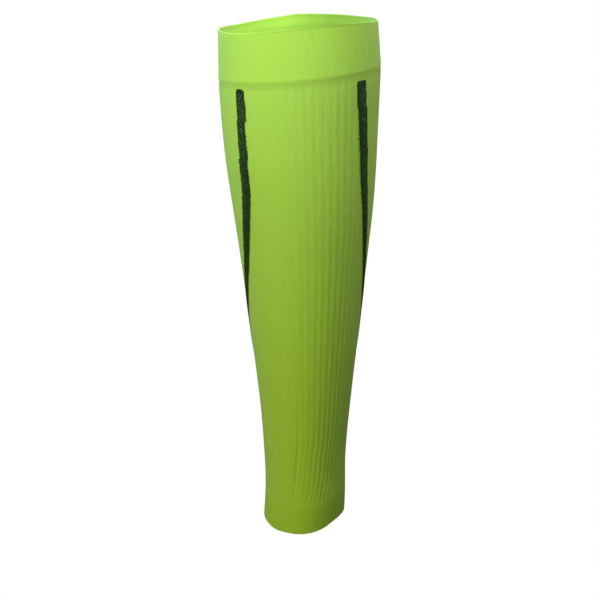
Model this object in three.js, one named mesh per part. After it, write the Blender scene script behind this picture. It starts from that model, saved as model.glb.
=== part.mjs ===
// A calf compression sleeve: a seamless knitted tube with a double-layer cuff at each end, a ribbed shin panel
// and two knitted-in stripes that run down from the shin's sides and close in on the heel.
// Millimetres, +Z up the leg. The origin is on the leg's axis, level with the top cuff's rim. The shin faces -Y.
// Angles run round the leg from the shin: 0 at the shin, +90 at +X, 180 at the back of the calf.
import * as THREE from "three";

// Driving dimensions
const SLEEVE_LENGTH = 360; // from the rim under the knee to the hem above the ankle
const CALF_RADIUS = 53; // outside, at the seam under the top cuff, the widest place
const ANKLE_RADIUS = 29.8; // outside, at the narrowest place
const BODY_WALL = 1.6;
const TOP_CUFF_HEIGHT = 30.7;
const TOP_CUFF_WALL = 2.4; // two layers of the knit
const ANKLE_CUFF_HEIGHT = 21.3;
const ANKLE_CUFF_WALL = 2.1;
const ANKLE_CUFF_SWELL = 0.2; // how far the ankle cuff stands proud of the body
const PIECE_GAP = 0.3; // clearance between two pieces that are knitted together on the real sleeve
const SEAM_TUCK = 0.4; // how far an edge rolls in at a seam
const SEAM_ROLL = 2.6; // the length of that roll
const COURSE_TILT = 4.1; // degrees, the knit's rows rise towards +X
const RIM_WAVE = 2.2; // the rim's rise and dip
const HEM_WAVE = 1.6; // the hem's rise and dip at the ankle

const RIB_COUNT = 15; // on the shin panel
const RIB_PITCH = 6.43; // degrees, an average
const RIB_RELIEF = 0.4;
const RIB_FADE = 4; // the length over which the ribs start and end
const KNIT_TURN = 1.1; // degrees, how far the shin panel's middle sits towards +X

const STRIPE_WIDTH = 9.6; // degrees, so it narrows with the leg as the stitches do
const STRIPE_THICKNESS = 0.7;
const STRIPE_CROWN = 0.2; // how much thicker the stripe is along its middle
const STRIPE_STARTS = { left: 3.3, right: 4.5 }; // below the top cuff's seam
const STRIPE_END = 9; // above the ankle cuff's seam

const PLAIN_STEPS = 30; // facets round the plain part of the body
const CUFF_STEPS = 54; // facets round a cuff
const BODY_ROWS = 21; // sections down the outside of the body
const LINING_ROWS = 11; // sections down its inside
const STRIPE_ROWS = 30;

// The leg's sections. at: share of the length below the rim. girth: 0 at the ankle's radius, 1 at the calf's.
// side and forward: the section's shift towards +X and the shin, in calf radii.
// back: the depth behind the section's centre, in radii. shin: how far the sides of the shin are drawn in, in radii.
const legSections = [
  { at: 0.0, girth: 0.93, side: -0.003, forward: 0.0, back: 1.0, shin: 0.0 },
  { at: 0.05, girth: 0.972, side: 0.006, forward: 0.0, back: 1.02, shin: 0.0 },
  { at: 0.09, girth: 0.996, side: 0.01, forward: 0.0, back: 1.03, shin: 0.0 },
  { at: 0.12, girth: 0.985, side: 0.01, forward: 0.0, back: 1.05, shin: 0.0 },
  { at: 0.175, girth: 0.954, side: 0.012, forward: 0.0, back: 1.07, shin: 0.005 },
  { at: 0.23, girth: 0.912, side: 0.018, forward: 0.002, back: 1.08, shin: 0.008 },
  { at: 0.29, girth: 0.846, side: 0.031, forward: 0.005, back: 1.09, shin: 0.012 },
  { at: 0.35, girth: 0.76, side: 0.041, forward: 0.012, back: 1.08, shin: 0.015 },
  { at: 0.41, girth: 0.66, side: 0.044, forward: 0.02, back: 1.07, shin: 0.018 },
  { at: 0.47, girth: 0.564, side: 0.044, forward: 0.03, back: 1.05, shin: 0.02 },
  { at: 0.55, girth: 0.44, side: 0.043, forward: 0.045, back: 1.03, shin: 0.024 },
  { at: 0.62, girth: 0.328, side: 0.042, forward: 0.062, back: 1.02, shin: 0.028 },
  { at: 0.69, girth: 0.218, side: 0.039, forward: 0.08, back: 1.02, shin: 0.031 },
  { at: 0.755, girth: 0.127, side: 0.034, forward: 0.095, back: 1.03, shin: 0.034 },
  { at: 0.82, girth: 0.056, side: 0.024, forward: 0.108, back: 1.04, shin: 0.036 },
  { at: 0.88, girth: 0.014, side: 0.019, forward: 0.118, back: 1.05, shin: 0.038 },
  { at: 0.925, girth: 0.015, side: 0.018, forward: 0.124, back: 1.05, shin: 0.038 },
  { at: 0.965, girth: 0.029, side: 0.009, forward: 0.128, back: 1.05, shin: 0.038 },
  { at: 1.0, girth: 0.04, side: -0.005, forward: 0.13, back: 1.05, shin: 0.038 },
];

// Both edges' soft waves round the leg. rim: in RIM_WAVEs. hem: in HEM_WAVEs.
const edgeWaves = [
  { angle: -180, rim: 0.97, hem: 0 },
  { angle: -150, rim: 0.37, hem: 0.1 },
  { angle: -125, rim: 0.14, hem: 0.4 },
  { angle: -105, rim: 0.36, hem: 0.55 },
  { angle: -90, rim: 0.46, hem: 0.45 },
  { angle: -72, rim: 0.19, hem: -0.1 },
  { angle: -50, rim: -0.09, hem: -1 },
  { angle: -25, rim: 0.1, hem: -0.5 },
  { angle: 0, rim: 0.42, hem: -0.44 },
  { angle: 25, rim: 0.4, hem: 0.04 },
  { angle: 48, rim: -0.2, hem: 1.15 },
  { angle: 70, rim: -0.82, hem: 1 },
  { angle: 88, rim: -1.05, hem: 0.2 },
  { angle: 105, rim: -0.84, hem: -0.1 },
  { angle: 125, rim: -0.65, hem: -0.1 },
  { angle: 150, rim: 0.07, hem: 0 },
  { angle: 180, rim: 0.97, hem: 0 },
];

// How the knit's wales run down the body. at: share of the body's length. fan: a wale's width on the shin panel, in
// average wales. twist: degrees towards +X.
const waleRuns = [
  { at: 0.0, fan: 0.925, twist: 0 },
  { at: 0.2, fan: 0.95, twist: 0 },
  { at: 0.35, fan: 0.985, twist: 0 },
  { at: 0.57, fan: 1.035, twist: 0 },
  { at: 0.82, fan: 1.09, twist: 0 },
  { at: 0.87, fan: 1.09, twist: -2 },
  { at: 0.94, fan: 1.09, twist: -5.5 },
  { at: 1.0, fan: 1.09, twist: -12 },
];

// The soft crease down the lower shin lies in two of the panel's valleys, one after the other.
// valley: counted from the panel's middle towards +X. from and to: shares of the body's length.
const creases = [
  { valley: -0.5, from: 0.46, to: 0.74, depth: 0.15 },
  { valley: -1.5, from: 0.68, to: 0.98, depth: 0.2 },
];

// The middle of each stripe. at: share of the body's length. left and right: degrees from the shin.
const stripePath = [
  { at: 0.0, left: 44.9, right: 45.6 },
  { at: 0.05, left: 44.9, right: 47.4 },
  { at: 0.1, left: 45.3, right: 49.9 },
  { at: 0.2, left: 47.2, right: 53.8 },
  { at: 0.25, left: 49.9, right: 56.0 },
  { at: 0.3, left: 54.0, right: 59.0 },
  { at: 0.4, left: 63.9, right: 66.8 },
  { at: 0.56, left: 86.0, right: 85.2 },
  { at: 0.75, left: 112.5, right: 112.0 },
  { at: 1.0, left: 148, right: 148 },
];

const SEAM_AT = TOP_CUFF_HEIGHT / SLEEVE_LENGTH;
const ANKLE_SEAM_AT = 1 - ANKLE_CUFF_HEIGHT / SLEEVE_LENGTH;
const BODY_LENGTH = SLEEVE_LENGTH - TOP_CUFF_HEIGHT - ANKLE_CUFF_HEIGHT;

// A column of a table at a key, on a smooth curve through its rows.
function read(table, key, column, value) {
  const last = table.length - 1;
  const inside = THREE.MathUtils.clamp(value, table[0][key], table[last][key]);
  let i = 0;
  while (i < last - 1 && table[i + 1][key] < inside) i += 1;
  const slope = (a, b) => (table[b][column] - table[a][column]) / (table[b][key] - table[a][key]);
  const span = table[i + 1][key] - table[i][key];
  const t = (inside - table[i][key]) / span;
  const startSlope = slope(Math.max(i - 1, 0), i + 1);
  const endSlope = slope(i, Math.min(i + 2, last));
  return (
    table[i][column] * (2 * t ** 3 - 3 * t ** 2 + 1) +
    table[i + 1][column] * (3 * t ** 2 - 2 * t ** 3) +
    span * (startSlope * (t ** 3 - 2 * t ** 2 + t) + endSlope * (t ** 3 - t ** 2))
  );
}

const even = (from, to, steps) => Array.from({ length: steps + 1 }, (_, i) => from + ((to - from) * i) / steps);

// A point of the sleeve's outside at a share of its length and an angle, or that far inside the outside.
function onLeg(at, angle, inset = 0) {
  const turn = THREE.MathUtils.degToRad(angle);
  const front = Math.cos(turn) > 0;
  const radius = ANKLE_RADIUS + read(legSections, "at", "girth", at) * (CALF_RADIUS - ANKLE_RADIUS);
  const drawnIn = front ? read(legSections, "at", "shin", at) * Math.sin(2 * turn) ** 2 : 0;
  const reach = radius * (1 - drawnIn) - inset;
  const depth = front ? 1 : read(legSections, "at", "back", at);
  const x = read(legSections, "at", "side", at) * CALF_RADIUS + reach * Math.sin(turn);
  const y = -read(legSections, "at", "forward", at) * CALF_RADIUS - reach * depth * Math.cos(turn);
  const rimWave = read(edgeWaves, "angle", "rim", angle) * RIM_WAVE * Math.max(0, 1 - at / SEAM_AT);
  const pastSeam = Math.max(0, at - ANKLE_SEAM_AT) / (1 - ANKLE_SEAM_AT);
  const hemWave = read(edgeWaves, "angle", "hem", angle) * HEM_WAVE * pastSeam;
  const z = -at * SLEEVE_LENGTH + rimWave + hemWave + x * Math.tan(THREE.MathUtils.degToRad(COURSE_TILT));
  return new THREE.Vector3(x, y, z);
}

// A closed body through sections of as many points each: a ring of sections, or a bar with flat ends.
function loft(sections, ring) {
  const count = sections[0].length;
  const indices = [];
  const steps = ring ? sections.length : sections.length - 1;
  for (let i = 0; i < steps; i += 1) {
    const here = i * count;
    const next = ((i + 1) % sections.length) * count;
    for (let k = 0; k < count; k += 1) {
      const after = (k + 1) % count;
      indices.push(here + k, next + k, next + after, here + k, next + after, here + after);
    }
  }
  if (!ring) {
    const end = (sections.length - 1) * count;
    for (let k = 1; k < count - 1; k += 1) {
      indices.push(0, k, k + 1, end, end + k + 1, end + k);
    }
  }
  const geometry = new THREE.BufferGeometry().setFromPoints(sections.flat());
  geometry.setIndex(indices);
  geometry.computeVertexNormals();
  return geometry;
}

// A cuff is folded at its free edge, where its wall is round, and rolls in at its seam.
function cuffProfile(edge, seam, wall, swell) {
  const away = Math.sign(seam - edge);
  const height = Math.abs(seam - edge);
  const fold = wall / 2;
  const place = (fromEdge, inset) => ({ down: edge + away * fromEdge, inset: inset - swell });
  const outside = [
    place(height, SEAM_TUCK),
    place(height - SEAM_ROLL * 0.35, SEAM_TUCK * 0.4),
    place(height - SEAM_ROLL, 0),
    place(height * 0.5, 0),
    place(fold, 0),
  ];
  const round = [30, 65, 115, 150].map((degrees) => {
    const turn = THREE.MathUtils.degToRad(degrees);
    return place(fold * (1 - Math.sin(turn)), fold * (1 - Math.cos(turn)));
  });
  const inside = [place(fold, wall), place(height * 0.5, wall), place(height, wall)];
  const profile = [...outside, ...round, ...inside];
  return away > 0 ? profile : profile.reverse();
}

function cuffGeometry(edge, seam, wall, swell) {
  const profile = cuffProfile(edge, seam, wall, swell);
  const angles = even(-180, 180, CUFF_STEPS).slice(0, -1);
  const section = (angle) => profile.map(({ down, inset }) => onLeg(down / SLEEVE_LENGTH, angle, inset));
  return loft(angles.map(section), true);
}

// Where a wale lies round the leg. wale: its place in an even knit, in degrees from the shin panel's middle.
function waleAngle(at, wale) {
  const along = (at - SEAM_AT) * (SLEEVE_LENGTH / BODY_LENGTH);
  const half = (RIB_COUNT * RIB_PITCH) / 2;
  const fan = read(waleRuns, "at", "fan", along);
  const beyond = Math.max(0, Math.abs(wale) - half);
  const fromMiddle = Math.min(Math.abs(wale), half) * fan + (beyond * (180 - half * fan)) / (180 - half);
  return KNIT_TURN + read(waleRuns, "at", "twist", along) + Math.sign(wale) * fromMiddle;
}

// How far the body's outside lies inside the plain form: the valleys between the ribs, and the crease.
function bodyRelief(at, wale) {
  const down = (at - SEAM_AT) * SLEEVE_LENGTH;
  const fade = THREE.MathUtils.smoothstep(Math.min(down, BODY_LENGTH - down), 0, RIB_FADE);
  const inPanel = Math.abs(wale) <= ((RIB_COUNT + 0.5) * RIB_PITCH) / 2;
  const rib = inPanel ? RIB_RELIEF * Math.sin((Math.PI * wale) / RIB_PITCH) ** 4 : 0;
  const inCreases = creases.map(({ valley, from, to, depth }) => {
    const away = (wale / RIB_PITCH - valley) * 2;
    const run = THREE.MathUtils.clamp((down / BODY_LENGTH - from) / (to - from), 0, 1);
    return depth * Math.sin(Math.PI * run) ** 0.5 * Math.exp(-away * away);
  });
  return fade * (rib + Math.max(...inCreases));
}

// Round the body, each rib has a valley and two shoulders, and the plain part has even facets.
function bodyWales() {
  const half = (RIB_COUNT * RIB_PITCH) / 2;
  const ribs = even(-half, half - RIB_PITCH, RIB_COUNT - 1).flatMap((valley) =>
    [0, 0.3, 0.7].map((share) => valley + share * RIB_PITCH),
  );
  const edge = half + RIB_PITCH * 0.3;
  const plain = even(edge, 360 - edge, PLAIN_STEPS).map((wale) => (wale > 180 ? wale - 360 : wale));
  return [...ribs, half, ...plain];
}

function bodyGeometry() {
  const top = TOP_CUFF_HEIGHT + PIECE_GAP / 2;
  const bottom = SLEEVE_LENGTH - ANKLE_CUFF_HEIGHT - PIECE_GAP / 2;
  const roll = SEAM_ROLL * 0.35;
  const outside = [
    { down: bottom, inset: SEAM_TUCK / 2 },
    { down: bottom - roll, inset: SEAM_TUCK * 0.2 },
    ...even(bottom - SEAM_ROLL, top + SEAM_ROLL, BODY_ROWS - 1).map((down) => ({ down, inset: 0 })),
    { down: top + roll, inset: SEAM_TUCK * 0.4 },
    { down: top, inset: SEAM_TUCK },
  ].map((place) => ({ ...place, outside: true }));
  const inside = even(top, bottom, LINING_ROWS - 1).map((down) => ({ down, inset: BODY_WALL }));
  const profile = [...outside, ...inside];
  const section = (wale) =>
    profile.map(({ down, inset, outside: ribbed }) => {
      const at = down / SLEEVE_LENGTH;
      return onLeg(at, waleAngle(at, wale), inset + (ribbed ? bodyRelief(at, wale) : 0));
    });
  return loft(bodyWales().map(section), true);
}

// A stripe lies on the body, crowned along its middle. side: "left" towards -X, "right" towards +X.
function stripeGeometry(side) {
  const half = STRIPE_WIDTH / 2;
  const under = -PIECE_GAP;
  const edge = under - STRIPE_THICKNESS;
  const outline = [
    { across: half, inset: under },
    { across: 0, inset: under },
    { across: -half, inset: under },
    { across: -half, inset: edge },
    { across: 0, inset: edge - STRIPE_CROWN },
    { across: half, inset: edge },
  ];
  const sections = even(STRIPE_STARTS[side], BODY_LENGTH - STRIPE_END, STRIPE_ROWS - 1).map((down) => {
    const fromShin = read(stripePath, "at", side, down / BODY_LENGTH);
    const middle = side === "left" ? -fromShin : fromShin;
    const at = SEAM_AT + down / SLEEVE_LENGTH;
    return outline.map(({ across, inset }) => onLeg(at, middle + across, inset));
  });
  return loft(sections, false);
}

const limeKnit = new THREE.MeshStandardMaterial({ color: "#a5d43c", roughness: 0.85, metalness: 0 });
const limeWelt = new THREE.MeshStandardMaterial({ color: "#acde4e", roughness: 0.8, metalness: 0 });
const darkYarn = new THREE.MeshStandardMaterial({ color: "#26382a", roughness: 0.75, metalness: 0 });

const sleeve = new THREE.Group();

function addPiece(name, geometry, material) {
  const piece = new THREE.Mesh(geometry, material);
  piece.name = name;
  sleeve.add(piece);
}

const topSeam = TOP_CUFF_HEIGHT - PIECE_GAP / 2;
const ankleSeam = SLEEVE_LENGTH - ANKLE_CUFF_HEIGHT + PIECE_GAP / 2;

addPiece("top_cuff", cuffGeometry(0, topSeam, TOP_CUFF_WALL, 0), limeWelt);
addPiece("sleeve_body", bodyGeometry(), limeKnit);
addPiece("stripe_left", stripeGeometry("left"), darkYarn);
addPiece("stripe_right", stripeGeometry("right"), darkYarn);
addPiece("ankle_cuff", cuffGeometry(SLEEVE_LENGTH, ankleSeam, ANKLE_CUFF_WALL, ANKLE_CUFF_SWELL), limeWelt);

export default sleeve;
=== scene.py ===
import math

import bpy
import numpy as np
from mathutils import Matrix, Vector


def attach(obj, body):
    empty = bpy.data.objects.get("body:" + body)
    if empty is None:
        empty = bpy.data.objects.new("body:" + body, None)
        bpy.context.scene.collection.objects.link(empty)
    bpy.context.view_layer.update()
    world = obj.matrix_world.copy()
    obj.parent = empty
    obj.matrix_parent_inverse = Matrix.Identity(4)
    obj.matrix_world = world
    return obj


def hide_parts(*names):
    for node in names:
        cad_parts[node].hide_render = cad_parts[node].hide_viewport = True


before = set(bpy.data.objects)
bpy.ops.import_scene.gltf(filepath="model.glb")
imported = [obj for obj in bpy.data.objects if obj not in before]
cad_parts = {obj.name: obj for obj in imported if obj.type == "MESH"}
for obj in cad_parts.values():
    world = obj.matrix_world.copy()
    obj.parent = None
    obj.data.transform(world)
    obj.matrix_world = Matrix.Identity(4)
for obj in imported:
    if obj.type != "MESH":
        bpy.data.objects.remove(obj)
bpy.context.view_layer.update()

MM = 0.001


# The view. The sleeve is seen from a little above its rim, upright and held up, with nothing in it.
# The camera's place is the one at which the rim, both seams, the hem and the outline fall where they do in
# the photograph. It is turned a little about its own axis, as the photograph leans.
CAMERA_PLACE = (-1.2 * MM, -642.1 * MM, 50.8 * MM)
CAMERA_PITCH = 20.57  # degrees below the horizon
CAMERA_LEAN = -0.79
CAMERA_LENS = 57.82  # mm, as the sensor's width
CAMERA_SENSOR = 36
NEAREST_SEEN = 0.01
FURTHEST_SEEN = 50

camera_data = bpy.data.cameras.new("camera")
camera_data.lens = CAMERA_LENS
camera_data.sensor_width = CAMERA_SENSOR
camera_data.clip_start = NEAREST_SEEN
camera_data.clip_end = FURTHEST_SEEN
camera = bpy.data.objects.new("camera", camera_data)
aim = Matrix.Rotation(math.radians(90 - CAMERA_PITCH), 4, "X")
lean = Matrix.Rotation(math.radians(CAMERA_LEAN), 4, "Z")
camera.matrix_world = Matrix.Translation(CAMERA_PLACE) @ aim @ lean
bpy.context.collection.objects.link(camera)
bpy.context.scene.camera = camera
bpy.context.scene.view_settings.view_transform = "Standard"


def linear(hex_colour, alpha=1.0):
    """An sRGB hex colour as the linear one that a shader takes."""
    shares = [int(hex_colour[i:i + 2], 16) / 255 for i in (1, 3, 5)]
    return (*(s / 12.92 if s <= 0.04045 else ((s + 0.055) / 1.055) ** 2.4 for s in shares), alpha)


def add_node(tree, kind, inputs=None, **settings):
    """A node with its settings. Each of its inputs is linked, or set to a value."""
    made = tree.nodes.new(kind)
    for name, value in settings.items():
        setattr(made, name, value)
    for key, value in (inputs or {}).items():
        if isinstance(value, bpy.types.NodeSocket):
            tree.links.new(value, made.inputs[key])
        else:
            made.inputs[key].default_value = value
    return made


# The studio. A plain pale floor lies well under the sleeve, which something out of view holds up. It glows
# like a light table, so that it stays plain. Three soft lights stand close above the rim, so that the sleeve
# darkens towards the ankle and to the right, and a warm one stands low on the left, as light comes back from
# a room. Two weak ones behind show the back, and a very small one over the mouth lights the rim's inside.
FLOOR_DROP = 1.6  # metres under the rim
FLOOR_SIZE = 60
PALE = "#ffffff"
ROOM_TINT = "#fff0c8"
ROOM_FILL = 0.02
UPPER_MIDDLE = (0, 0, -0.10)  # where a light aims unless its row says otherwise
LEFT_RIM = (-0.05, 0.02, -0.005)
LIGHTS = [
    {"name": "key", "place": (-0.30, -0.36, 0.35), "size": 0.35, "watts": 3.3, "tint": "#f6ffe7"},
    {"name": "front", "place": (0.02, -0.45, 0.42), "size": 0.35, "watts": 2.6, "tint": "#fdfdff"},
    {"name": "side", "place": (0.60, -0.10, 0.50), "size": 0.35, "watts": 2.3, "tint": "#fffaaa"},
    {"name": "bounce", "place": (-0.50, -0.50, -0.55), "size": 0.35, "watts": 1.5, "tint": "#ffd83f"},
    {"name": "back left", "place": (-0.26, 0.17, 0.16), "size": 0.25, "watts": 0.36, "tint": "#c4ffe0"},
    {"name": "back right", "place": (0.36, 0.28, 0.24), "size": 0.25, "watts": 0.55, "tint": "#fff6d0"},
    {"name": "mouth", "place": (0.035, -0.015, 0.08), "size": 0.05, "watts": 0.05, "tint": "#f4ecff",
     "aim": LEFT_RIM},
]

floor_mesh = bpy.data.meshes.new("floor")
half_floor = FLOOR_SIZE / 2
floor_corners = [
    (x * half_floor, y * half_floor, -FLOOR_DROP) for x, y in ((-1, -1), (1, -1), (1, 1), (-1, 1))
]
floor_mesh.from_pydata(floor_corners, [], [(0, 1, 2, 3)])
floor = bpy.data.objects.new("floor", floor_mesh)
bpy.context.collection.objects.link(floor)
light_table = bpy.data.materials.new("white light table")
light_table.use_nodes = True
table_tree = light_table.node_tree
table_tree.nodes.clear()
table_seen = add_node(table_tree, "ShaderNodeLightPath").outputs["Is Camera Ray"]
table_strength = add_node(
    table_tree, "ShaderNodeMapRange", {"Value": table_seen, "To Min": ROOM_FILL, "To Max": 1.0}
).outputs["Result"]
table_glow = add_node(
    table_tree, "ShaderNodeEmission", {"Color": linear(PALE), "Strength": table_strength}
)
add_node(table_tree, "ShaderNodeOutputMaterial", {"Surface": table_glow.outputs["Emission"]})
floor_mesh.materials.append(light_table)

room = bpy.data.worlds.new("pale room")
room.use_nodes = True
room_tree = room.node_tree
room_tree.nodes.clear()
seen = add_node(room_tree, "ShaderNodeLightPath").outputs["Is Camera Ray"]
room_strength = add_node(
    room_tree, "ShaderNodeMapRange", {"Value": seen, "To Min": ROOM_FILL, "To Max": 1.0}
).outputs["Result"]
room_colour = add_node(
    room_tree, "ShaderNodeMix", {0: seen, 6: linear(ROOM_TINT), 7: linear(PALE)}, data_type="RGBA"
).outputs[2]
glow = add_node(room_tree, "ShaderNodeBackground", {"Color": room_colour, "Strength": room_strength})
add_node(room_tree, "ShaderNodeOutputWorld", {"Surface": glow.outputs["Background"]})
bpy.context.scene.world = room

for row in LIGHTS:
    light_data = bpy.data.lights.new(row["name"], "AREA")
    light_data.energy = row["watts"]
    light_data.size = row["size"]
    light_data.color = linear(row["tint"])[:3]
    light = bpy.data.objects.new(row["name"], light_data)
    light.location = row["place"]
    towards = Vector(row.get("aim", UPPER_MIDDLE)) - Vector(row["place"])
    light.rotation_euler = towards.to_track_quat("-Z", "Y").to_euler()
    bpy.context.collection.objects.link(light)


# The sleeve's body: one seamless tube of fine lime nylon and elastane knit, made on a circular machine. It
# keeps the form of the leg. Down the shin it has a panel of shallow ribs, with a soft crease low in it.
# Lengths are in millimetres and angles in degrees from the shin, towards +X.
SLEEVE_LENGTH = 360
CALF_RADIUS = 53
ANKLE_RADIUS = 29.8
BODY_WALL = 1.6
TOP_CUFF_HEIGHT = 30.7
ANKLE_CUFF_HEIGHT = 21.3
BODY_LENGTH = SLEEVE_LENGTH - TOP_CUFF_HEIGHT - ANKLE_CUFF_HEIGHT
SEAM_AT = TOP_CUFF_HEIGHT / SLEEVE_LENGTH
ANKLE_SEAM_AT = 1 - ANKLE_CUFF_HEIGHT / SLEEVE_LENGTH
TOP_SEAM_TUCK = 0.16  # how far each edge rolls in at the top cuff's seam
ANKLE_SEAM_TUCK = 0.07
BODY_SEAM_ROLL = 9  # the length of that roll
CUFF_SEAM_ROLL = 2.6
CUFF_TUCK_SHARE = 0.65  # the cuff's thicker edge rolls in less than the body's
SEAM_LAP = 1.5  # how far two pieces pass each other at a seam, under each other's surface
COURSE_TILT = 4.1  # the courses rise towards +X
RIM_WAVE = 2.2
HEM_WAVE = 1.6
RIB_COUNT = 15
RIB_PITCH = 6.43
RIB_RELIEF = 0.2
RIB_FADE = 3
RIB_SIDES = (-22, 12)  # the ribs are faintest left of the first and at their fullest right of the second
FAINTEST_RIBS = 0.3
VALLEY_SHARPNESS = 2.0
PANEL_EDGE = 1.0
KNIT_TURN = 1.1
WALE_COUNT = 392  # seven to each rib's pitch
COURSE_HEIGHT = 0.62
UNEVENNESS = 0.10  # how far hand-smoothed cloth strays from the form
UNEVEN_SCALE = 45  # to a metre, so a dent is about 22 mm long
UNEVEN_SEED = 3.0
JOIN_PAINTED_SHADE = 0.3  # how far painted shade under the top cuff, with the join's darker open courses, darkens the lime
JOIN_MIDDLE = 1.2
JOIN_ABOVE = 1.5
JOIN_BELOW = 2.4
ANKLE_PAINTED_SHADE = 0.16  # painted shade over the ankle cuff's seam, on the shaded right side only
ANKLE_JOIN_MIDDLE = 0.7
ANKLE_JOIN_WIDTH = 0.9
ANKLE_JOIN_SIDES = (5, 25)
PAINTED_SHEEN_LENGTH = 200  # painted sheen makes the lime paler and bluer towards the top, fading out over this length

COLUMNS_PER_RIB = 14
PLAIN_COLUMNS = 126
BODY_ROWS = 240
LINING_ROWS = 30


def with_columns(names, rows):
    """A table as one array for each named column."""
    return dict(zip(names.split(), np.array(rows, float).T))


# Shares of the sleeve's length below the rim, then the section's girth between the ankle's and the calf's
# radius, its shifts to the side and forward in calf radii, its depth behind, and how far the sides of the
# shin are drawn in.
leg_sections = with_columns("at girth side forward back shin", [
    (0.000, 0.930, -0.003, 0.000, 1.00, 0.000),
    (0.050, 0.972, 0.006, 0.000, 1.02, 0.000),
    (0.090, 0.996, 0.010, 0.000, 1.03, 0.000),
    (0.120, 0.985, 0.010, 0.000, 1.05, 0.000),
    (0.175, 0.954, 0.012, 0.000, 1.07, 0.005),
    (0.230, 0.912, 0.018, 0.002, 1.08, 0.008),
    (0.290, 0.846, 0.031, 0.005, 1.09, 0.012),
    (0.350, 0.760, 0.041, 0.012, 1.08, 0.015),
    (0.410, 0.660, 0.044, 0.020, 1.07, 0.018),
    (0.470, 0.564, 0.044, 0.030, 1.05, 0.020),
    (0.550, 0.440, 0.043, 0.045, 1.03, 0.024),
    (0.620, 0.328, 0.042, 0.062, 1.02, 0.028),
    (0.690, 0.218, 0.039, 0.080, 1.02, 0.031),
    (0.755, 0.127, 0.034, 0.095, 1.03, 0.034),
    (0.820, 0.056, 0.024, 0.108, 1.04, 0.036),
    (0.880, 0.014, 0.019, 0.118, 1.05, 0.038),
    (0.925, 0.015, 0.018, 0.124, 1.05, 0.038),
    (0.965, 0.029, 0.009, 0.128, 1.05, 0.038),
    (1.000, 0.040, -0.005, 0.130, 1.05, 0.038),
])

# Both edges' soft waves round the leg, in RIM_WAVEs and HEM_WAVEs.
edge_waves = with_columns("angle rim hem", [
    (-180, 0.97, 0.00), (-150, 0.37, 0.10), (-125, 0.14, 0.40), (-105, 0.36, 0.55), (-90, 0.46, 0.45),
    (-72, 0.19, -0.10), (-50, -0.09, -1.00), (-25, 0.10, -0.50), (0, 0.42, -0.44), (25, 0.40, 0.04),
    (48, -0.20, 1.15), (70, -0.82, 1.00), (88, -1.05, 0.20), (105, -0.84, -0.10), (125, -0.65, -0.10),
    (150, 0.07, 0.00), (180, 0.97, 0.00),
])

# Along the body: a wale's width on the shin panel in average wales, and the knit's twist towards +X.
wale_runs = with_columns("at fan twist", [
    (0.00, 0.925, 0), (0.20, 0.95, 0), (0.35, 0.985, 0), (0.57, 1.035, 0),
    (0.82, 1.09, 0), (0.87, 1.09, -2), (0.94, 1.09, -5.5), (1.00, 1.09, -12),
])

# The crease lies in two valleys of the panel, one after the other. The valleys are counted from its middle.
CREASES = [
    {"valley": -0.5, "from": 0.46, "to": 0.74, "depth": 0.16, "width": 0.3},
    {"valley": -1.5, "from": 0.66, "to": 0.985, "depth": 0.2, "width": 0.4},
    {"valley": -1.5, "from": 0.82, "to": 0.965, "depth": 0.4, "width": 0.2},
]


def read(table, key, name, value):
    """A column of a table at a key, on a smooth curve through its rows."""
    keys, column = table[key], table[name]
    last = len(keys) - 1
    value = np.clip(value, keys[0], keys[-1])
    i = np.clip(np.searchsorted(keys, value) - 1, 0, last - 1)
    before, after = np.maximum(i - 1, 0), np.minimum(i + 2, last)
    span = keys[i + 1] - keys[i]
    t = (value - keys[i]) / span
    start_slope = (column[i + 1] - column[before]) / (keys[i + 1] - keys[before])
    end_slope = (column[after] - column[i]) / (keys[after] - keys[i])
    return (
        column[i] * (2 * t**3 - 3 * t**2 + 1)
        + column[i + 1] * (3 * t**2 - 2 * t**3)
        + span * (start_slope * (t**3 - 2 * t**2 + t) + end_slope * (t**3 - t**2))
    )


def on_leg(at, angle, inset):
    """Points of the sleeve's outside, or that far inside it, in metres."""
    at, angle, inset = np.broadcast_arrays(np.asarray(at, float), angle, inset)
    turn = np.radians(angle)
    front = np.cos(turn) > 0
    radius = ANKLE_RADIUS + read(leg_sections, "at", "girth", at) * (CALF_RADIUS - ANKLE_RADIUS)
    drawn_in = np.where(front, read(leg_sections, "at", "shin", at) * np.sin(2 * turn) ** 2, 0)
    reach = radius * (1 - drawn_in) - inset
    depth = np.where(front, 1, read(leg_sections, "at", "back", at))
    x = read(leg_sections, "at", "side", at) * CALF_RADIUS + reach * np.sin(turn)
    y = -read(leg_sections, "at", "forward", at) * CALF_RADIUS - reach * depth * np.cos(turn)
    round_turn = (angle + 180) % 360 - 180
    rim_wave = read(edge_waves, "angle", "rim", round_turn) * RIM_WAVE * np.maximum(0, 1 - at / SEAM_AT)
    past_seam = np.maximum(0, at - ANKLE_SEAM_AT) / (1 - ANKLE_SEAM_AT)
    hem_wave = read(edge_waves, "angle", "hem", round_turn) * HEM_WAVE * past_seam
    z = -at * SLEEVE_LENGTH + rim_wave + hem_wave + x * math.tan(math.radians(COURSE_TILT))
    return np.stack([x, y, z], -1) * MM


def wale_angle(along, wale):
    """Where a wale lies round the leg. wale is its angle in an even knit, from the shin panel's middle."""
    half = RIB_COUNT * RIB_PITCH / 2
    fan = read(wale_runs, "at", "fan", along)
    beyond = np.maximum(0, np.abs(wale) - half)
    from_middle = np.minimum(np.abs(wale), half) * fan + beyond * (180 - half * fan) / (180 - half)
    return KNIT_TURN + read(wale_runs, "at", "twist", along) + np.sign(wale) * from_middle


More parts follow.
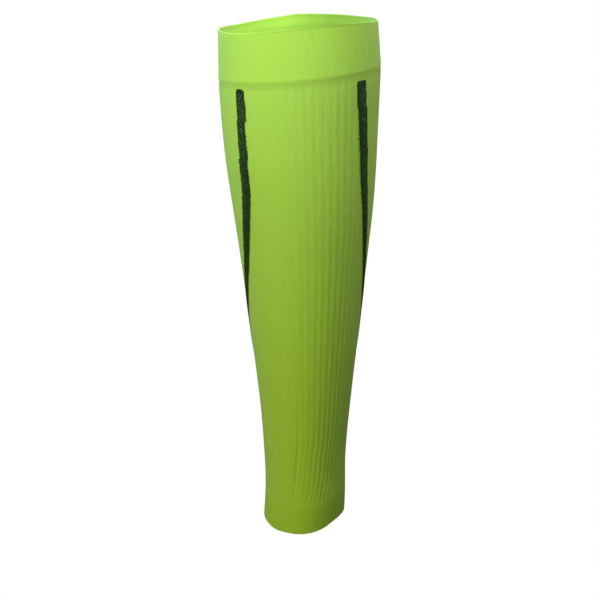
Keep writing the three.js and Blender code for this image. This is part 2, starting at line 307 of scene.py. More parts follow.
def tube_piece(name, places, wales, courses, **marks):
    """A closed wall round the leg. places has a column of points for each wale, which runs up the outside and
    down the inside. Its UV map counts wales and courses, and marks are numbers kept at the points."""
    around, along = places.shape[:2]
    mesh = bpy.data.meshes.new(name)
    mesh.vertices.add(around * along)
    mesh.vertices.foreach_set("co", places.astype(np.float32).ravel())
    c, r = np.meshgrid(np.arange(around), np.arange(along), indexing="ij")
    corners = [(c, r), (c + 1, r), (c + 1, r + 1), (c, r + 1)]
    faces = np.stack([(a % around) * along + b % along for a, b in corners], -1)
    mesh.loops.add(faces.size)
    mesh.loops.foreach_set("vertex_index", faces.astype(np.int32).ravel())
    mesh.polygons.add(around * along)
    mesh.polygons.foreach_set("loop_start", np.arange(0, faces.size, 4, dtype=np.int32))
    mesh.update(calc_edges=True)
    wale_steps = np.append(wales, wales[0] + WALE_COUNT)
    course_steps = np.append(courses, courses[-1] + 1)
    knit_map = mesh.uv_layers.new(name="knit")
    uv = np.stack([np.stack([wale_steps[a], course_steps[b]], -1) for a, b in corners], 2)
    knit_map.data.foreach_set("uv", uv.astype(np.float32).ravel())
    for mark, values in marks.items():
        layer = mesh.attributes.new(mark, "FLOAT", "POINT")
        spread = np.broadcast_to(values, (around, along))
        layer.data.foreach_set("value", spread.astype(np.float32).ravel())
    mesh.shade_smooth()
    piece = bpy.data.objects.new(name, mesh)
    bpy.context.collection.objects.link(piece)
    return piece


# Fine plain knit of nylon over elastane, knitted from dyed yarn and left unbrushed: matt, with a slight bloom
# at the edge of view. Its stitches are small slanted pairs, with painted shade between them.
STITCH_SLANT = 1.5  # courses to a wale
COURSE_DEPTH = 1.2  # of the dips between courses, where the ones between wales are 1
WALE_STREAK = 1.1  # changes of tightness for each wale
COURSE_STREAK = 0.045
SHADED_AT = -0.6  # the heights at which the knit has its painted-shade lime and its bright lime
BRIGHT_AT = 1.4
LIME_PAINTED_SHADE = "#5f8420"  # painted shade, at the top cuff's join where its darker courses also show, on the rim's crest and inside it
BLOOM_TINT = "#dcffd4"


def knit_material(name, bright, shaded_lime, stretched, relief, streaks, bloom):
    """The knit in three limes: on top of its stitches, with painted shade between them, and with painted
    sheen towards the top.
    """
    material = bpy.data.materials.new(name)
    material.use_nodes = True
    tree = material.node_tree
    shader = tree.nodes["Principled BSDF"]
    knit = add_node(tree, "ShaderNodeUVMap", uv_map="knit").outputs["UV"]
    places = add_node(tree, "ShaderNodeSeparateXYZ", {"Vector": knit})
    from_wale = add_node(
        tree, "ShaderNodeMath", {0: places.outputs["X"], 1: 0.5}, operation="PINGPONG"
    ).outputs[0]
    turned = add_node(tree, "ShaderNodeMath", {0: from_wale, 1: math.tau}, operation="MULTIPLY").outputs[0]
    legs = add_node(tree, "ShaderNodeMath", {0: turned}, operation="SINE").outputs[0]
    slant = add_node(
        tree, "ShaderNodeMath", {0: from_wale, 1: STITCH_SLANT, 2: places.outputs["Y"]},
        operation="MULTIPLY_ADD",
    ).outputs[0]
    course = add_node(tree, "ShaderNodeMath", {0: slant, 1: 0.5}, operation="PINGPONG").outputs[0]
    stitch = add_node(
        tree, "ShaderNodeMath", {0: course, 1: COURSE_DEPTH, 2: legs}, operation="MULTIPLY_ADD"
    ).outputs[0]
    highest = 1 + COURSE_DEPTH / 2
    stitch_height = add_node(
        tree, "ShaderNodeMath", {0: stitch, 1: 1 / highest}, operation="MULTIPLY"
    ).outputs[0]
    # Some wales are tighter than others for a dozen courses or so, which shows as fine streaks along the leg.
    run = add_node(
        tree, "ShaderNodeVectorMath", {0: knit, 1: (WALE_STREAK, COURSE_STREAK, 1)}, operation="MULTIPLY"
    ).outputs[0]
    streak = add_node(tree, "ShaderNodeTexNoise", {"Vector": run, "Scale": 1, "Detail": 1.5}).outputs["Fac"]
    centred = add_node(tree, "ShaderNodeMath", {0: streak, 1: 0.5}, operation="SUBTRACT").outputs[0]
    ribbed = add_node(tree, "ShaderNodeAttribute", attribute_name="ribs").outputs["Fac"]
    strength = add_node(tree, "ShaderNodeMath", {0: ribbed, 1: streaks}, operation="MULTIPLY").outputs[0]
    height = add_node(
        tree, "ShaderNodeMath", {0: centred, 1: strength, 2: stitch_height}, operation="MULTIPLY_ADD"
    ).outputs[0]
    share = add_node(
        tree, "ShaderNodeMapRange", {"Value": height, "From Min": SHADED_AT, "From Max": BRIGHT_AT}
    ).outputs["Result"]
    plain = add_node(
        tree, "ShaderNodeMix", {0: share, 6: linear(shaded_lime), 7: linear(bright)}, data_type="RGBA"
    ).outputs[2]
    # Painted sheen: the tops of the stitches turn a paler, bluer lime towards the top, where the lights
    # stand.
    stretch = add_node(tree, "ShaderNodeAttribute", attribute_name="stretch").outputs["Fac"]
    sheen_share = add_node(tree, "ShaderNodeMath", {0: share, 1: stretch}, operation="MULTIPLY").outputs[0]
    lime = add_node(
        tree, "ShaderNodeMix", {0: sheen_share, 6: plain, 7: linear(stretched)}, data_type="RGBA"
    ).outputs[2]
    # Painted shade: the lime darkens where the mark says, at the top cuff's join, on the rim's crest and
    # inside the rim.
    join = add_node(tree, "ShaderNodeAttribute", attribute_name="join").outputs["Fac"]
    colour = add_node(
        tree, "ShaderNodeMix", {0: join, 6: lime, 7: linear(LIME_PAINTED_SHADE)}, data_type="RGBA"
    ).outputs[2]
    bump = add_node(tree, "ShaderNodeBump", {"Height": height, "Strength": 0.6, "Distance": relief * MM})
    tree.links.new(colour, shader.inputs["Base Color"])
    tree.links.new(bump.outputs["Normal"], shader.inputs["Normal"])
    shader.inputs["Roughness"].default_value = 0.82
    shader.inputs["Specular IOR Level"].default_value = 0.25
    shader.inputs["Sheen Weight"].default_value = bloom
    shader.inputs["Sheen Roughness"].default_value = 0.5
    shader.inputs["Sheen Tint"].default_value = linear(BLOOM_TINT)
    return material


body_knit = knit_material(
    "fine lime nylon knit", bright="#a8d638", shaded_lime="#96c430", stretched="#a7d765",
    relief=0.12, streaks=3.3, bloom=0.3,
)

half_panel = RIB_COUNT * RIB_PITCH / 2
panel_wales = np.linspace(-half_panel, half_panel, RIB_COUNT * COLUMNS_PER_RIB + 1)
plain_wales = np.linspace(half_panel, 360 - half_panel, PLAIN_COLUMNS + 1)[1:-1]
body_wales = np.append(panel_wales, plain_wales)
signed_wales = np.where(body_wales > 180, body_wales - 360, body_wales)

body_downs = np.linspace(BODY_LENGTH + SEAM_LAP, -SEAM_LAP, BODY_ROWS)
lining_downs = np.linspace(-SEAM_LAP, BODY_LENGTH + SEAM_LAP, LINING_ROWS)


def seam_roll(from_seam, tuck, roll):
    """How far a wall lies in, near the seam where it rolls under."""
    return tuck * np.maximum(0, 1 - from_seam / roll) ** 2


top_roll = seam_roll(body_downs, TOP_SEAM_TUCK, BODY_SEAM_ROLL)
ankle_roll = seam_roll(BODY_LENGTH - body_downs, ANKLE_SEAM_TUCK, BODY_SEAM_ROLL)
body_profile = np.concatenate([body_downs, lining_downs])
body_insets = np.concatenate([top_roll + ankle_roll, np.full(LINING_ROWS, BODY_WALL)])
outside = np.concatenate([np.ones(BODY_ROWS), np.zeros(LINING_ROWS)])
along_body = body_profile / BODY_LENGTH
body_angles = wale_angle(along_body[None, :], signed_wales[:, None])
body_places = on_leg(SEAM_AT + body_profile[None, :] / SLEEVE_LENGTH, body_angles, body_insets[None, :])

# The ribs lie flatter where the calf stretches the knit most, on the left of the panel and near the top.
rib_runs = with_columns("down depth", [
    (0, 0.75), (60, 0.8), (120, 0.8), (170, 0.9), (230, 1.05), (275, 1.0), (300, 0.9), (BODY_LENGTH, 0.9),
])
across_panel = np.interp(signed_wales, RIB_SIDES, (0, 1))
rib_share = FAINTEST_RIBS + (1 - FAINTEST_RIBS) * across_panel**2 * (3 - 2 * across_panel)
rib_marks = rib_share[:, None] * read(rib_runs, "down", "depth", body_profile)[None, :]


def join_mark(from_seam):
    """How far painted shade under the top cuff's edge, with the join's darker open courses, darkens the lime,
    at a distance under its seam.
    """
    width = np.where(from_seam < JOIN_MIDDLE, JOIN_ABOVE, JOIN_BELOW)
    return JOIN_PAINTED_SHADE * np.exp(-((from_seam - JOIN_MIDDLE) / width) ** 2)


# The joins: a soft band of painted shade under the top cuff, partly the join's darker courses, and a faint
# band of painted shade over the ankle cuff, on the right only.
top_join = join_mark(body_profile)
right_side = np.interp(signed_wales, ANKLE_JOIN_SIDES, (0, 1))
over_ankle = (BODY_LENGTH - body_profile - ANKLE_JOIN_MIDDLE) / ANKLE_JOIN_WIDTH
ankle_join = ANKLE_PAINTED_SHADE * right_side[:, None] * np.exp(-over_ankle**2)[None, :]
join_marks = (top_join[None, :] + ankle_join) * outside[None, :]

crease_marks = np.zeros(body_angles.shape)
for row in CREASES:
    away = (signed_wales[:, None] / RIB_PITCH - row["valley"]) / row["width"]
    run = np.clip((along_body[None, :] - row["from"]) / (row["to"] - row["from"]), 0, 1)
    crease_marks += row["depth"] * np.sqrt(np.sin(math.pi * run)) * np.exp(-away**2)

sleeve_body = tube_piece(
    "sleeve_knit",
    body_places,
    body_wales / 360 * WALE_COUNT,
    body_profile / COURSE_HEIGHT,
    wale=signed_wales[:, None],
    down=body_profile[None, :],
    outside=outside[None, :],
    ribs=rib_marks * outside[None, :],
    crease=crease_marks * outside[None, :],
    join=join_marks,
    stretch=np.clip(1 - body_profile / PAINTED_SHEEN_LENGTH, 0, 1)[None, :],
)


def node_tree(name, inputs):
    """A Geometry Nodes tree with named inputs, and its input and output nodes."""
    tree = bpy.data.node_groups.new(name, "GeometryNodeTree")
    tree.interface.new_socket("Geometry", in_out="INPUT", socket_type="NodeSocketGeometry")
    tree.interface.new_socket("Geometry", in_out="OUTPUT", socket_type="NodeSocketGeometry")
    for label, kind in inputs.items():
        tree.interface.new_socket(label, in_out="INPUT", socket_type=f"NodeSocket{kind}")
    return tree, add_node(tree, "NodeGroupInput"), add_node(tree, "NodeGroupOutput")


def made_with(piece, tree, values):
    """The piece with what the tree makes of it, as a plain mesh."""
    modifier = piece.modifiers.new(tree.name, "NODES")
    modifier.node_group = tree
    for item in tree.interface.items_tree:
        if item.in_out == "INPUT" and item.name in values:
            modifier[item.identifier] = values[item.name]
    evaluated = piece.evaluated_get(bpy.context.evaluated_depsgraph_get())
    mesh = bpy.data.meshes.new_from_object(evaluated)
    piece.modifiers.clear()
    old = piece.data
    piece.data = mesh
    bpy.data.meshes.remove(old)
    return piece


# The shin panel's ribs. A valley between two ribs is a column of stitches that lies deeper in the knit, so
# the tree sinks the outside along each, and adds the crease and the slight unevenness of unpressed cloth.
rib_tree, given, result = node_tree("shin ribs", {
    "Pitch": "Float", "Relief": "Float", "Panel half": "Float", "Body length": "Float", "Fade": "Float",
    "Unevenness": "Float", "Seed": "Float", "Knit": "Material",
})
marks = {
    name: add_node(
        rib_tree, "GeometryNodeInputNamedAttribute", {"Name": name}, data_type="FLOAT"
    ).outputs["Attribute"]
    for name in ("wale", "down", "outside", "ribs", "crease")
}
turns = add_node(
    rib_tree, "ShaderNodeMath", {0: marks["wale"], 1: given.outputs["Pitch"]}, operation="DIVIDE"
)
half_waves = add_node(rib_tree, "ShaderNodeMath", {0: turns.outputs[0], 1: math.pi}, operation="MULTIPLY")
swing = add_node(rib_tree, "ShaderNodeMath", {0: half_waves.outputs[0]}, operation="SINE")
swing_size = add_node(rib_tree, "ShaderNodeMath", {0: swing.outputs[0]}, operation="ABSOLUTE")
valley = add_node(
    rib_tree, "ShaderNodeMath", {0: swing_size.outputs[0], 1: VALLEY_SHARPNESS}, operation="POWER"
)
from_middle = add_node(rib_tree, "ShaderNodeMath", {0: marks["wale"]}, operation="ABSOLUTE")
from_edge = add_node(
    rib_tree, "ShaderNodeMath", {0: given.outputs["Panel half"], 1: from_middle.outputs[0]},
    operation="SUBTRACT",
)
in_panel = add_node(
    rib_tree, "ShaderNodeMapRange",
    {"Value": from_edge.outputs[0], "From Min": -PANEL_EDGE, "From Max": PANEL_EDGE},
)
from_ankle = add_node(
    rib_tree, "ShaderNodeMath", {0: given.outputs["Body length"], 1: marks["down"]}, operation="SUBTRACT"
)
from_end = add_node(
    rib_tree, "ShaderNodeMath", {0: from_ankle.outputs[0], 1: marks["down"]}, operation="MINIMUM"
)
fade = add_node(
    rib_tree, "ShaderNodeMapRange", {"Value": from_end.outputs[0], "From Max": given.outputs["Fade"]},
    interpolation_type="SMOOTHSTEP",
)
rib_size = add_node(
    rib_tree, "ShaderNodeMath", {0: marks["ribs"], 1: given.outputs["Relief"]}, operation="MULTIPLY"
)
rib_depth = add_node(
    rib_tree, "ShaderNodeMath", {0: valley.outputs[0], 1: rib_size.outputs[0]}, operation="MULTIPLY"
)
panel_depth = add_node(
    rib_tree, "ShaderNodeMath", {0: rib_depth.outputs[0], 1: in_panel.outputs["Result"]}, operation="MULTIPLY"
)
sunk = add_node(rib_tree, "ShaderNodeMath", {0: panel_depth.outputs[0], 1: marks["crease"]}, operation="ADD")
place = add_node(rib_tree, "GeometryNodeInputPosition").outputs["Position"]
drift = add_node(
    rib_tree, "ShaderNodeTexNoise",
    {"Vector": place, "W": given.outputs["Seed"], "Scale": UNEVEN_SCALE, "Detail": 2, "Roughness": 0.45},
    noise_dimensions="4D",
)
centred = add_node(rib_tree, "ShaderNodeMath", {0: drift.outputs["Fac"], 1: 0.5}, operation="SUBTRACT")
uneven = add_node(
    rib_tree, "ShaderNodeMath", {0: centred.outputs[0], 1: given.outputs["Unevenness"], 2: sunk.outputs[0]},
    operation="MULTIPLY_ADD",
)
faded = add_node(
    rib_tree, "ShaderNodeMath", {0: uneven.outputs[0], 1: fade.outputs["Result"]}, operation="MULTIPLY"
)
depth_here = add_node(
    rib_tree, "ShaderNodeMath", {0: faded.outputs[0], 1: marks["outside"]}, operation="MULTIPLY"
)
inwards = add_node(rib_tree, "ShaderNodeMath", {0: depth_here.outputs[0], 1: -MM}, operation="MULTIPLY")
normal = add_node(rib_tree, "GeometryNodeInputNormal").outputs["Normal"]
shift = add_node(
    rib_tree, "ShaderNodeVectorMath", {0: normal, "Scale": inwards.outputs[0]}, operation="SCALE"
)
moved = add_node(
    rib_tree, "GeometryNodeSetPosition", {"Geometry": given.outputs["Geometry"], "Offset": shift.outputs[0]}
)
realized = add_node(rib_tree, "GeometryNodeRealizeInstances", {"Geometry": moved.outputs["Geometry"]})
finished = add_node(
    rib_tree, "GeometryNodeSetMaterial",
    {"Geometry": realized.outputs["Geometry"], "Material": given.outputs["Knit"]},
)
rib_tree.links.new(finished.outputs["Geometry"], result.inputs["Geometry"])
made_with(sleeve_body, rib_tree, {
    "Pitch": RIB_PITCH, "Relief": RIB_RELIEF, "Panel half": half_panel, "Body length": BODY_LENGTH,
    "Fade": RIB_FADE, "Unevenness": UNEVENNESS, "Seed": UNEVEN_SEED, "Knit": body_knit,
})
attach(sleeve_body, "root")
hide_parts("sleeve_body")


# The cuffs: at each end the knit is folded to two layers, as a welt that grips the leg. A welt is plain,
# finer and smoother than the body, round at its fold, and it rolls in at the seam where it joins the body.
TOP_CUFF_WALL = 2.4
ANKLE_CUFF_WALL = 2.1
FOLD_WALL = 1.3  # the two layers are pressed thin at the fold
FOLD_RUN = 7  # how far from the fold they reach their full thickness
LIP_SHARE = 0.75  # of the tuck: the joined edges lift the cuff a little beside the seam
LIP_PLACE = 1.9
LIP_WIDTH = 1.6
FOLD_PAINTED_SHADE = 0.8  # how much painted shade dulls the rim's crest at one angle, which fades to both sides
FOLD_SHADE_AT = 25
FOLD_SHADE_REACH = 75
FOLD_CREST = 1.0
INSIDE_PAINTED_SHADE = 0.55  # how much painted shade darkens the inside of the rim, on the right
INSIDE_SHADE_AT_SHIN = 0.3  # the share of that over the shin, and how fast it changes round the leg
INSIDE_SHADE_RISE = 1.6
CUFF_COLUMNS = 360
CUFF_ROWS = 60
FOLD_ROWS = 12
CUFF_COURSE_HEIGHT = 0.5

cuff_knit = knit_material(
    "fine lime double-layer welt", bright="#a1d042", shaded_lime="#94c238", stretched="#a5d55a",
    relief=0.07, streaks=2.4, bloom=0.42,
)
ankle_knit = knit_material(
    "fine lime welt at the ankle", bright="#a2cf34", shaded_lime="#94c22a", stretched="#a2cf34",
    relief=0.07, streaks=1.4, bloom=0.24,
)


def cuff_piece(name, edge, seam, wall, tuck, material):
    """A cuff from its free edge to its seam. Both are depths below the rim."""
    away = math.copysign(1, seam - edge)
    top = 1 if away > 0 else 0
    height = abs(seam - edge)
    fold = FOLD_WALL / 2
    wall_run = np.linspace(height + SEAM_LAP, fold, CUFF_ROWS)
    turn = np.linspace(0, math.pi, FOLD_ROWS + 2)[1:-1]
    from_edge = np.concatenate([wall_run, fold * (1 - np.sin(turn)), wall_run[::-1]])
    thicker = np.clip((wall_run[::-1] - fold) / FOLD_RUN, 0, 1)
    lip = tuck * LIP_SHARE * np.exp(-((height - wall_run - LIP_PLACE) / LIP_WIDTH) ** 2)
    rolled = seam_roll(height - wall_run, tuck * CUFF_TUCK_SHARE, CUFF_SEAM_ROLL)
    inner_wall = FOLD_WALL + (wall - FOLD_WALL) * thicker**2 * (3 - 2 * thicker)
    insets = np.concatenate([rolled - lip, fold * (1 - np.cos(turn)), inner_wall])
    outside = np.concatenate([np.ones(CUFF_ROWS), np.zeros(FOLD_ROWS + CUFF_ROWS)])
    angles = np.linspace(-180, 180, CUFF_COLUMNS, endpoint=False)
    # Marks that only the top cuff shows: painted shade at its join, on the crest of its fold and inside it.
    crest_share = np.clip(1 - np.abs((angles - FOLD_SHADE_AT) / FOLD_SHADE_REACH), 0, 1)[:, None]
    crest_painted_shade = FOLD_PAINTED_SHADE * crest_share * np.exp(-(from_edge / FOLD_CREST) ** 2)
    turned_in = np.concatenate([np.zeros(CUFF_ROWS), (1 - np.cos(turn)) / 2, np.ones(CUFF_ROWS)])
    to_right = np.clip(INSIDE_SHADE_AT_SHIN + INSIDE_SHADE_RISE * np.sin(np.radians(angles)), 0, 1)
    inside_painted_shade = INSIDE_PAINTED_SHADE * to_right[:, None] * turned_in
    join = top * (join_mark(from_edge - height) * outside + crest_painted_shade + inside_painted_shade)
    downs = edge + away * from_edge
    steps = np.append(0, np.cumsum(np.hypot(np.diff(from_edge), np.diff(insets))))
    if away < 0:
        downs, insets, steps = downs[::-1], insets[::-1], steps[::-1]
    places = on_leg(downs[None, :] / SLEEVE_LENGTH, angles[:, None], insets[None, :])
    streaked = np.interp(angles, RIB_SIDES, (0, 1))[:, None]
    # The top cuff takes the painted sheen all over, the ankle cuff none.
    piece = tube_piece(
        name, places, angles / 360 * WALE_COUNT, steps / CUFF_COURSE_HEIGHT,
        join=join, ribs=streaked, stretch=top,
    )
    piece.data.materials.append(material)
    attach(piece, "root")
    return piece


top_cuff = cuff_piece("top_welt", 0, TOP_CUFF_HEIGHT, TOP_CUFF_WALL, TOP_SEAM_TUCK, cuff_knit)
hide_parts("top_cuff")
ankle_cuff = cuff_piece(
    "ankle_welt", SLEEVE_LENGTH, SLEEVE_LENGTH - ANKLE_CUFF_HEIGHT,
    ANKLE_CUFF_WALL, ANKLE_SEAM_TUCK, ankle_knit,
)
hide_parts("ankle_cuff")


# The stripes: ten or so wales knitted in dark yarn in place of the lime, down both sides of the shin and
# round towards the heel. The path crosses the wales, so its edges step from one wale to the next.
STRIPE_SIGNS = {"left": -1, "right": 1}
STRIPE_SEEDS = {"left": 5, "right": 8}
STRIPE_WIDTH = 9.6
STRIPE_STARTS = {"left": 3.3, "right": 4.5}
STRIPE_END = 9
STRIPE_COURSE = 0.9  # drawn coarser than the lime's courses, so that the stitches show
WALE_STEP = 360 / WALE_COUNT

# The edges. From jog to jog a stripe keeps to its wales. Where it jogs outwards it does so by these degrees.
JOGS = {"left": 1.1, "right": 0.6}
JOG_RUN = 0.082  # of the body's length, from one jog to the next
JOG_PHASE = 0.89
JOGS_END = 0.237
TEETH = {"left": (0.35, 0.5), "right": (1.7, 0.2)}  # of each stripe's left and right edge, in wales
TOOTH = (0.6, -0.4)  # the share of it by which one course stands out and the next stands back
EDGE_STRAY = {"left": 0.32, "right": 0.15}  # how far an edge strays besides, in wales
RAGGED_FROM = (0.08, 0.2)  # the edges are neater above the first of these places than below the second
RAGGED = (0.45, 1)
CORNER_COURSES = {"left": 3, "right": 1}  # they round the stripe's upper corners, by half a wale each
CORNER_STEP = 0.5

# The tones of the yarn, from 0 where the lime shows through it to 1 at the lightest fleck.
EDGE_TONE = 0.05
EDGE_WALES = {"left": (2.2, 1.3), "right": (3.4, 1.6)}  # the greener part along each edge, in wales
PLAIN_TONES = {"left": 0.28, "right": 0.6}
FLECKS = {"left": (0.78, 0.5), "right": (0.68, 0.6)}  # the light stitches at the top and at half way
FLECKS_AT = (0, 0.5)
FLECK_EVERY = 3  # stitches, so the flecks make diagonals
FLECK_REACH = {"left": 7.5, "right": 12}  # wales from the left edge
UNFLECKED_COURSES = 3  # at the top
TONE_CHANCE = (0.6, 1.1)

# Along the body: each stripe's middle in degrees from the shin, and its width in STRIPE_WIDTHs.
stripe_path = with_columns("at left right left_width right_width", [
    (0.00, 44.5, 45.6, 0.86, 0.98), (0.05, 44.7, 47.4, 0.90, 0.97), (0.10, 45.9, 49.9, 0.92, 1.01),
    (0.20, 47.4, 53.4, 1.00, 0.95), (0.25, 49.9, 55.8, 1.06, 0.90), (0.30, 53.9, 59.1, 1.08, 0.84),
    (0.40, 63.9, 67.6, 1.05, 0.84), (0.56, 86.0, 85.2, 1.00, 1.00), (0.75, 112.5, 112.0, 1.00, 1.00),
    (1.00, 148, 148, 1.00, 1.00),
])

# Textured nylon yarn, dyed black-green and knitted in: matt, greener where it is thin at the edges, with the
# lighter flecks of its crimped filaments.
YARN_TONES = [(0.0, "#365214"), (0.3, "#213a21"), (0.6, "#304037"), (1.0, "#64866a")]
CRIMP_SCALE = 4200  # to a metre, so a crimp is about a quarter of a millimetre long
CRIMP_RELIEF = 0.06
CRIMP_MIDDLE = 0.7  # added to the crimp's noise, so that it scales the tone about 1.2 times
dark_yarn = bpy.data.materials.new("black-green textured nylon yarn")
dark_yarn.use_nodes = True
yarn_tree = dark_yarn.node_tree
yarn_shader = yarn_tree.nodes["Principled BSDF"]
yarn_tone = add_node(yarn_tree, "ShaderNodeAttribute", attribute_name="tone").outputs["Fac"]
yarn_place = add_node(yarn_tree, "ShaderNodeTexCoord").outputs["Object"]
fibres = add_node(
    yarn_tree, "ShaderNodeTexNoise", {"Vector": yarn_place, "Scale": CRIMP_SCALE, "Detail": 2}
).outputs["Fac"]
crimp = add_node(yarn_tree, "ShaderNodeMath", {0: fibres, 1: CRIMP_MIDDLE}, operation="ADD").outputs[0]
yarn_share = add_node(yarn_tree, "ShaderNodeMath", {0: yarn_tone, 1: crimp}, operation="MULTIPLY").outputs[0]
yarn_ramp = add_node(yarn_tree, "ShaderNodeValToRGB", {"Fac": yarn_share})
for place, shade in YARN_TONES[1:-1]:
    yarn_ramp.color_ramp.elements.new(place)
for element, (place, shade) in zip(yarn_ramp.color_ramp.elements, YARN_TONES):
    element.position = place
    element.color = linear(shade)
yarn_bump = add_node(
    yarn_tree, "ShaderNodeBump", {"Height": fibres, "Strength": 0.5, "Distance": CRIMP_RELIEF * MM}
)
yarn_tree.links.new(yarn_ramp.outputs["Color"], yarn_shader.inputs["Base Color"])
yarn_tree.links.new(yarn_bump.outputs["Normal"], yarn_shader.inputs["Normal"])
yarn_shader.inputs["Roughness"].default_value = 0.9
yarn_shader.inputs["Specular IOR Level"].default_value = 0.06
yarn_shader.inputs["Sheen Weight"].default_value = 0.01

# One stitch: two slanted legs of yarn that meet at the foot, in units of its own width and height.
LEG_STEPS = 4
LEG_SIDES = 4
LEG_RADIUS = 0.21
LEG_TAPER = 0.18  # the share of a half turn left off at each end, which keeps the ends from a point
LEG_FOOT = 0.08  # from the stitch's middle, at the foot, and how much further out at the head
LEG_SPREAD = 0.24
LEG_REACH = 0.62
LEG_LIFT = 0.1
LEG_BOW = 0.18
stitch_points, stitch_faces = [], []
for side in (-1, 1):
    first = len(stitch_points)
    for t in np.linspace(0, 1, LEG_STEPS):
        across = side * (LEG_FOOT + LEG_SPREAD * t)
        along = -LEG_REACH + 2 * LEG_REACH * t
        lift = LEG_LIFT + LEG_BOW * math.sin(math.pi * t)
        radius = LEG_RADIUS * math.sin(math.pi * (LEG_TAPER + (1 - 2 * LEG_TAPER) * t))
        for k in range(LEG_SIDES):
            turn = math.tau * (k + 0.5) / LEG_SIDES
            stitch_points.append((across + radius * math.cos(turn), along, lift + radius * math.sin(turn)))
    for ring in range(LEG_STEPS - 1):
        for k in range(LEG_SIDES):
            here = first + ring * LEG_SIDES + k
            after = first + ring * LEG_SIDES + (k + 1) % LEG_SIDES
            stitch_faces.append((here, here + LEG_SIDES, after + LEG_SIDES, after))
    head = first + (LEG_STEPS - 1) * LEG_SIDES
    stitch_faces.append(tuple(first + k for k in range(LEG_SIDES)))
    stitch_faces.append(tuple(head + k for k in reversed(range(LEG_SIDES))))
stitch_mesh = bpy.data.meshes.new("stitch")
stitch_mesh.from_pydata(stitch_points, [], stitch_faces)
stitch_mesh.shade_smooth()
stitch = bpy.data.objects.new("stitch", stitch_mesh)
bpy.context.collection.objects.link(stitch)

# The tree sets a stitch on each point, turned and sized as the point says, and joins them to the bed.
stripe_tree, given, result = node_tree("knitted stripe", {
    "Stitch": "Object", "Bed": "Object", "Seed": "Int", "Yarn": "Material",
})
facing = {
    name: add_node(
        stripe_tree, "GeometryNodeInputNamedAttribute", {"Name": name}, data_type="FLOAT_VECTOR"
    ).outputs["Attribute"]
    for name in ("outwards", "upwards", "stitch_size")
}
turned = add_node(
    stripe_tree, "FunctionNodeAxesToRotation",
    {"Primary Axis": facing["outwards"], "Secondary Axis": facing["upwards"]},
    primary_axis="Z", secondary_axis="Y",
)
one_stitch = add_node(stripe_tree, "GeometryNodeObjectInfo", {"Object": given.outputs["Stitch"]})
stitches = add_node(stripe_tree, "GeometryNodeInstanceOnPoints", {
    "Points": given.outputs["Geometry"], "Instance": one_stitch.outputs["Geometry"],
    "Rotation": turned.outputs["Rotation"], "Scale": facing["stitch_size"],
})
pattern = add_node(stripe_tree, "GeometryNodeInputNamedAttribute", {"Name": "pattern"}, data_type="FLOAT")
chance = add_node(
    stripe_tree, "FunctionNodeRandomValue",
    {2: TONE_CHANCE[0], 3: TONE_CHANCE[1], "Seed": given.outputs["Seed"]}, data_type="FLOAT",
)
tones = add_node(
    stripe_tree, "ShaderNodeMath", {0: pattern.outputs["Attribute"], 1: chance.outputs[1]},
    operation="MULTIPLY",
)
toned = add_node(
    stripe_tree, "GeometryNodeStoreNamedAttribute",
    {"Geometry": stitches.outputs["Instances"], "Name": "tone", "Value": tones.outputs[0]},
    data_type="FLOAT", domain="INSTANCE",
)
bed = add_node(stripe_tree, "GeometryNodeObjectInfo", {"Object": given.outputs["Bed"]})
joined = add_node(stripe_tree, "GeometryNodeJoinGeometry")
stripe_tree.links.new(toned.outputs["Geometry"], joined.inputs["Geometry"])
stripe_tree.links.new(bed.outputs["Geometry"], joined.inputs["Geometry"])
realized = add_node(stripe_tree, "GeometryNodeRealizeInstances", {"Geometry": joined.outputs["Geometry"]})
finished = add_node(
    stripe_tree, "GeometryNodeSetMaterial",
    {"Geometry": realized.outputs["Geometry"], "Material": given.outputs["Yarn"]},
)
stripe_tree.links.new(finished.outputs["Geometry"], result.inputs["Geometry"])

all_wales = (np.arange(WALE_COUNT) + 0.5) / WALE_COUNT * 360 - 180


def stripe_middle(side, along):
    """A stripe's middle. From one jog to the next it keeps to its wales, so it falls behind its path."""
    behind = (along / JOG_RUN - JOG_PHASE) % 1 - 0.5
    middle = read(stripe_path, "at", side, along) - JOGS[side] * behind * (along < JOGS_END)
    return STRIPE_SIGNS[side] * middle


def stripe_half(side, along):
    """Half of a stripe's width."""
    return read(stripe_path, "at", side + "_width", along) * STRIPE_WIDTH / 2


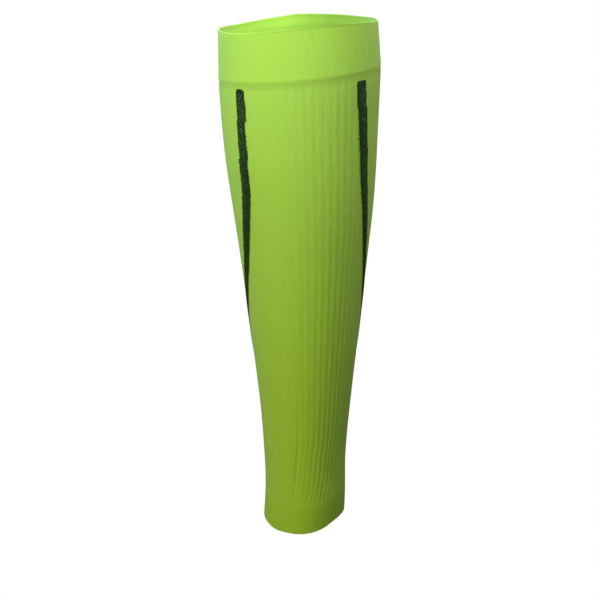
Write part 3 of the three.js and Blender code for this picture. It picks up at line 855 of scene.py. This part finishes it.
def stripe_stitches(side, courses):
    """The stitches in dark yarn: how far down each is, its wale, its angle round the leg, and its tone."""
    along = courses / BODY_LENGTH
    halves = stripe_half(side, along)
    angles = wale_angle(along[:, None], all_wales[None, :])
    gaps = (angles - stripe_middle(side, along)[:, None] + 180) % 360 - 180
    # An edge takes one wale more on every other course, and strays a little besides.
    stray = np.random.default_rng(STRIPE_SEEDS[side]).normal(0, EDGE_STRAY[side], (2, len(courses)))
    tooth = np.where(np.arange(len(courses)) % 2 == 0, *TOOTH)
    corner = np.clip(CORNER_COURSES[side] - np.arange(len(courses)), 0, None) * CORNER_STEP
    ragged = np.interp(along, RAGGED_FROM, RAGGED)
    left_tooth, right_tooth = TEETH[side]
    left_edges = -halves - ((tooth * left_tooth + stray[0]) * ragged - corner) * WALE_STEP
    right_edges = halves + ((tooth * right_tooth + stray[1]) * ragged - corner) * WALE_STEP
    rows, columns = np.nonzero((gaps > left_edges[:, None]) & (gaps < right_edges[:, None]))
    # The yarn is thin and green in the wales at both edges. Between them one stitch in three is lighter.
    from_left = (gaps + halves[:, None])[rows, columns] / WALE_STEP
    from_right = (halves[:, None] - gaps)[rows, columns] / WALE_STEP
    green = (from_left < EDGE_WALES[side][0]) | (from_right < EDGE_WALES[side][1])
    on_diagonal = (rows + columns) % FLECK_EVERY == 0
    flecked = on_diagonal & (from_left < FLECK_REACH[side]) & (rows >= UNFLECKED_COURSES)
    fleck = np.interp(along[rows], FLECKS_AT, FLECKS[side])
    tones = np.where(green, EDGE_TONE, np.where(flecked, fleck, PLAIN_TONES[side]))
    return courses[rows], all_wales[columns], angles[rows, columns], tones


STRIPE_BED = 0.12  # how far the bed under the stitches stands off the lime knit
BED_ROWS = 160
BED_SHORTER = 0.4  # at each end, and half a wale narrower at each side
BED_NARROWER = 0.5
BESIDE = 0.5  # the steps that give the direction in which the knit faces
ABOVE = 1


def stitch_points_piece(side, downs, wales, angles, tones):
    """A point for each stitch, half sunk in the bed, that carries its direction, its size and its tone."""
    at = SEAM_AT + downs / SLEEVE_LENGTH
    places = on_leg(at, angles, -STRIPE_BED / 2)
    beside = on_leg(at, angles + BESIDE, -STRIPE_BED / 2) - places
    above_angles = wale_angle((downs - ABOVE) / BODY_LENGTH, wales)
    above = on_leg(at - ABOVE / SLEEVE_LENGTH, above_angles, -STRIPE_BED / 2) - places
    outwards = np.cross(beside, above)
    outwards /= np.linalg.norm(outwards, axis=1)[:, None]
    upwards = above / np.linalg.norm(above, axis=1)[:, None]
    next_angles = wale_angle(downs / BODY_LENGTH, wales + WALE_STEP)
    width = np.linalg.norm(on_leg(at, next_angles, 0) - on_leg(at, angles, 0), axis=1)
    sizes = np.stack([width, np.full(len(width), STRIPE_COURSE * MM), width], -1)
    mesh = bpy.data.meshes.new("stripe_" + side)
    mesh.vertices.add(len(places))
    mesh.vertices.foreach_set("co", places.astype(np.float32).ravel())
    for name, values in (("outwards", outwards), ("upwards", upwards), ("stitch_size", sizes)):
        layer = mesh.attributes.new(name, "FLOAT_VECTOR", "POINT")
        layer.data.foreach_set("vector", values.astype(np.float32).ravel())
    layer = mesh.attributes.new("pattern", "FLOAT", "POINT")
    layer.data.foreach_set("value", tones.astype(np.float32))
    piece = bpy.data.objects.new(f"knitted_stripe_{side}", mesh)
    bpy.context.collection.objects.link(piece)
    return piece


def bed_piece(side, courses):
    """The dark strip under the stitches, which closes the gaps between them: thin, and a little narrower."""
    downs = np.linspace(courses[0] + BED_SHORTER, courses[-1] - BED_SHORTER, BED_ROWS)
    middles = stripe_middle(side, downs / BODY_LENGTH)
    halves = stripe_half(side, downs / BODY_LENGTH) - BED_NARROWER * WALE_STEP
    across = np.array([-1, -1, 0, 1, 1, 0])[None, :] * halves[:, None]
    insets = np.array([1, -1, -1, -1, 1, 1]) * STRIPE_BED
    places = on_leg(SEAM_AT + downs[:, None] / SLEEVE_LENGTH, middles[:, None] + across, insets[None, :])
    sides = len(insets)
    faces = []
    for row in range(BED_ROWS - 1):
        for k in range(sides):
            here, beyond = row * sides + k, row * sides + (k + 1) % sides
            faces.append((here, here + sides, beyond + sides, beyond))
    last = (BED_ROWS - 1) * sides
    faces += [tuple(range(sides)), tuple(last + k for k in reversed(range(sides)))]
    mesh = bpy.data.meshes.new("bed")
    mesh.from_pydata([tuple(p) for p in places.reshape(-1, 3)], [], faces)
    mesh.shade_smooth()
    piece = bpy.data.objects.new("bed", mesh)
    bpy.context.collection.objects.link(piece)
    return piece


for side, seed in STRIPE_SEEDS.items():
    courses = np.arange(STRIPE_STARTS[side], BODY_LENGTH - STRIPE_END, STRIPE_COURSE)
    piece = stitch_points_piece(side, *stripe_stitches(side, courses))
    strip = bed_piece(side, courses)
    made_with(piece, stripe_tree, {"Stitch": stitch, "Bed": strip, "Seed": seed, "Yarn": dark_yarn})
    bpy.data.objects.remove(strip)
    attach(piece, "root")
    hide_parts(f"stripe_{side}")
bpy.data.objects.remove(stitch)
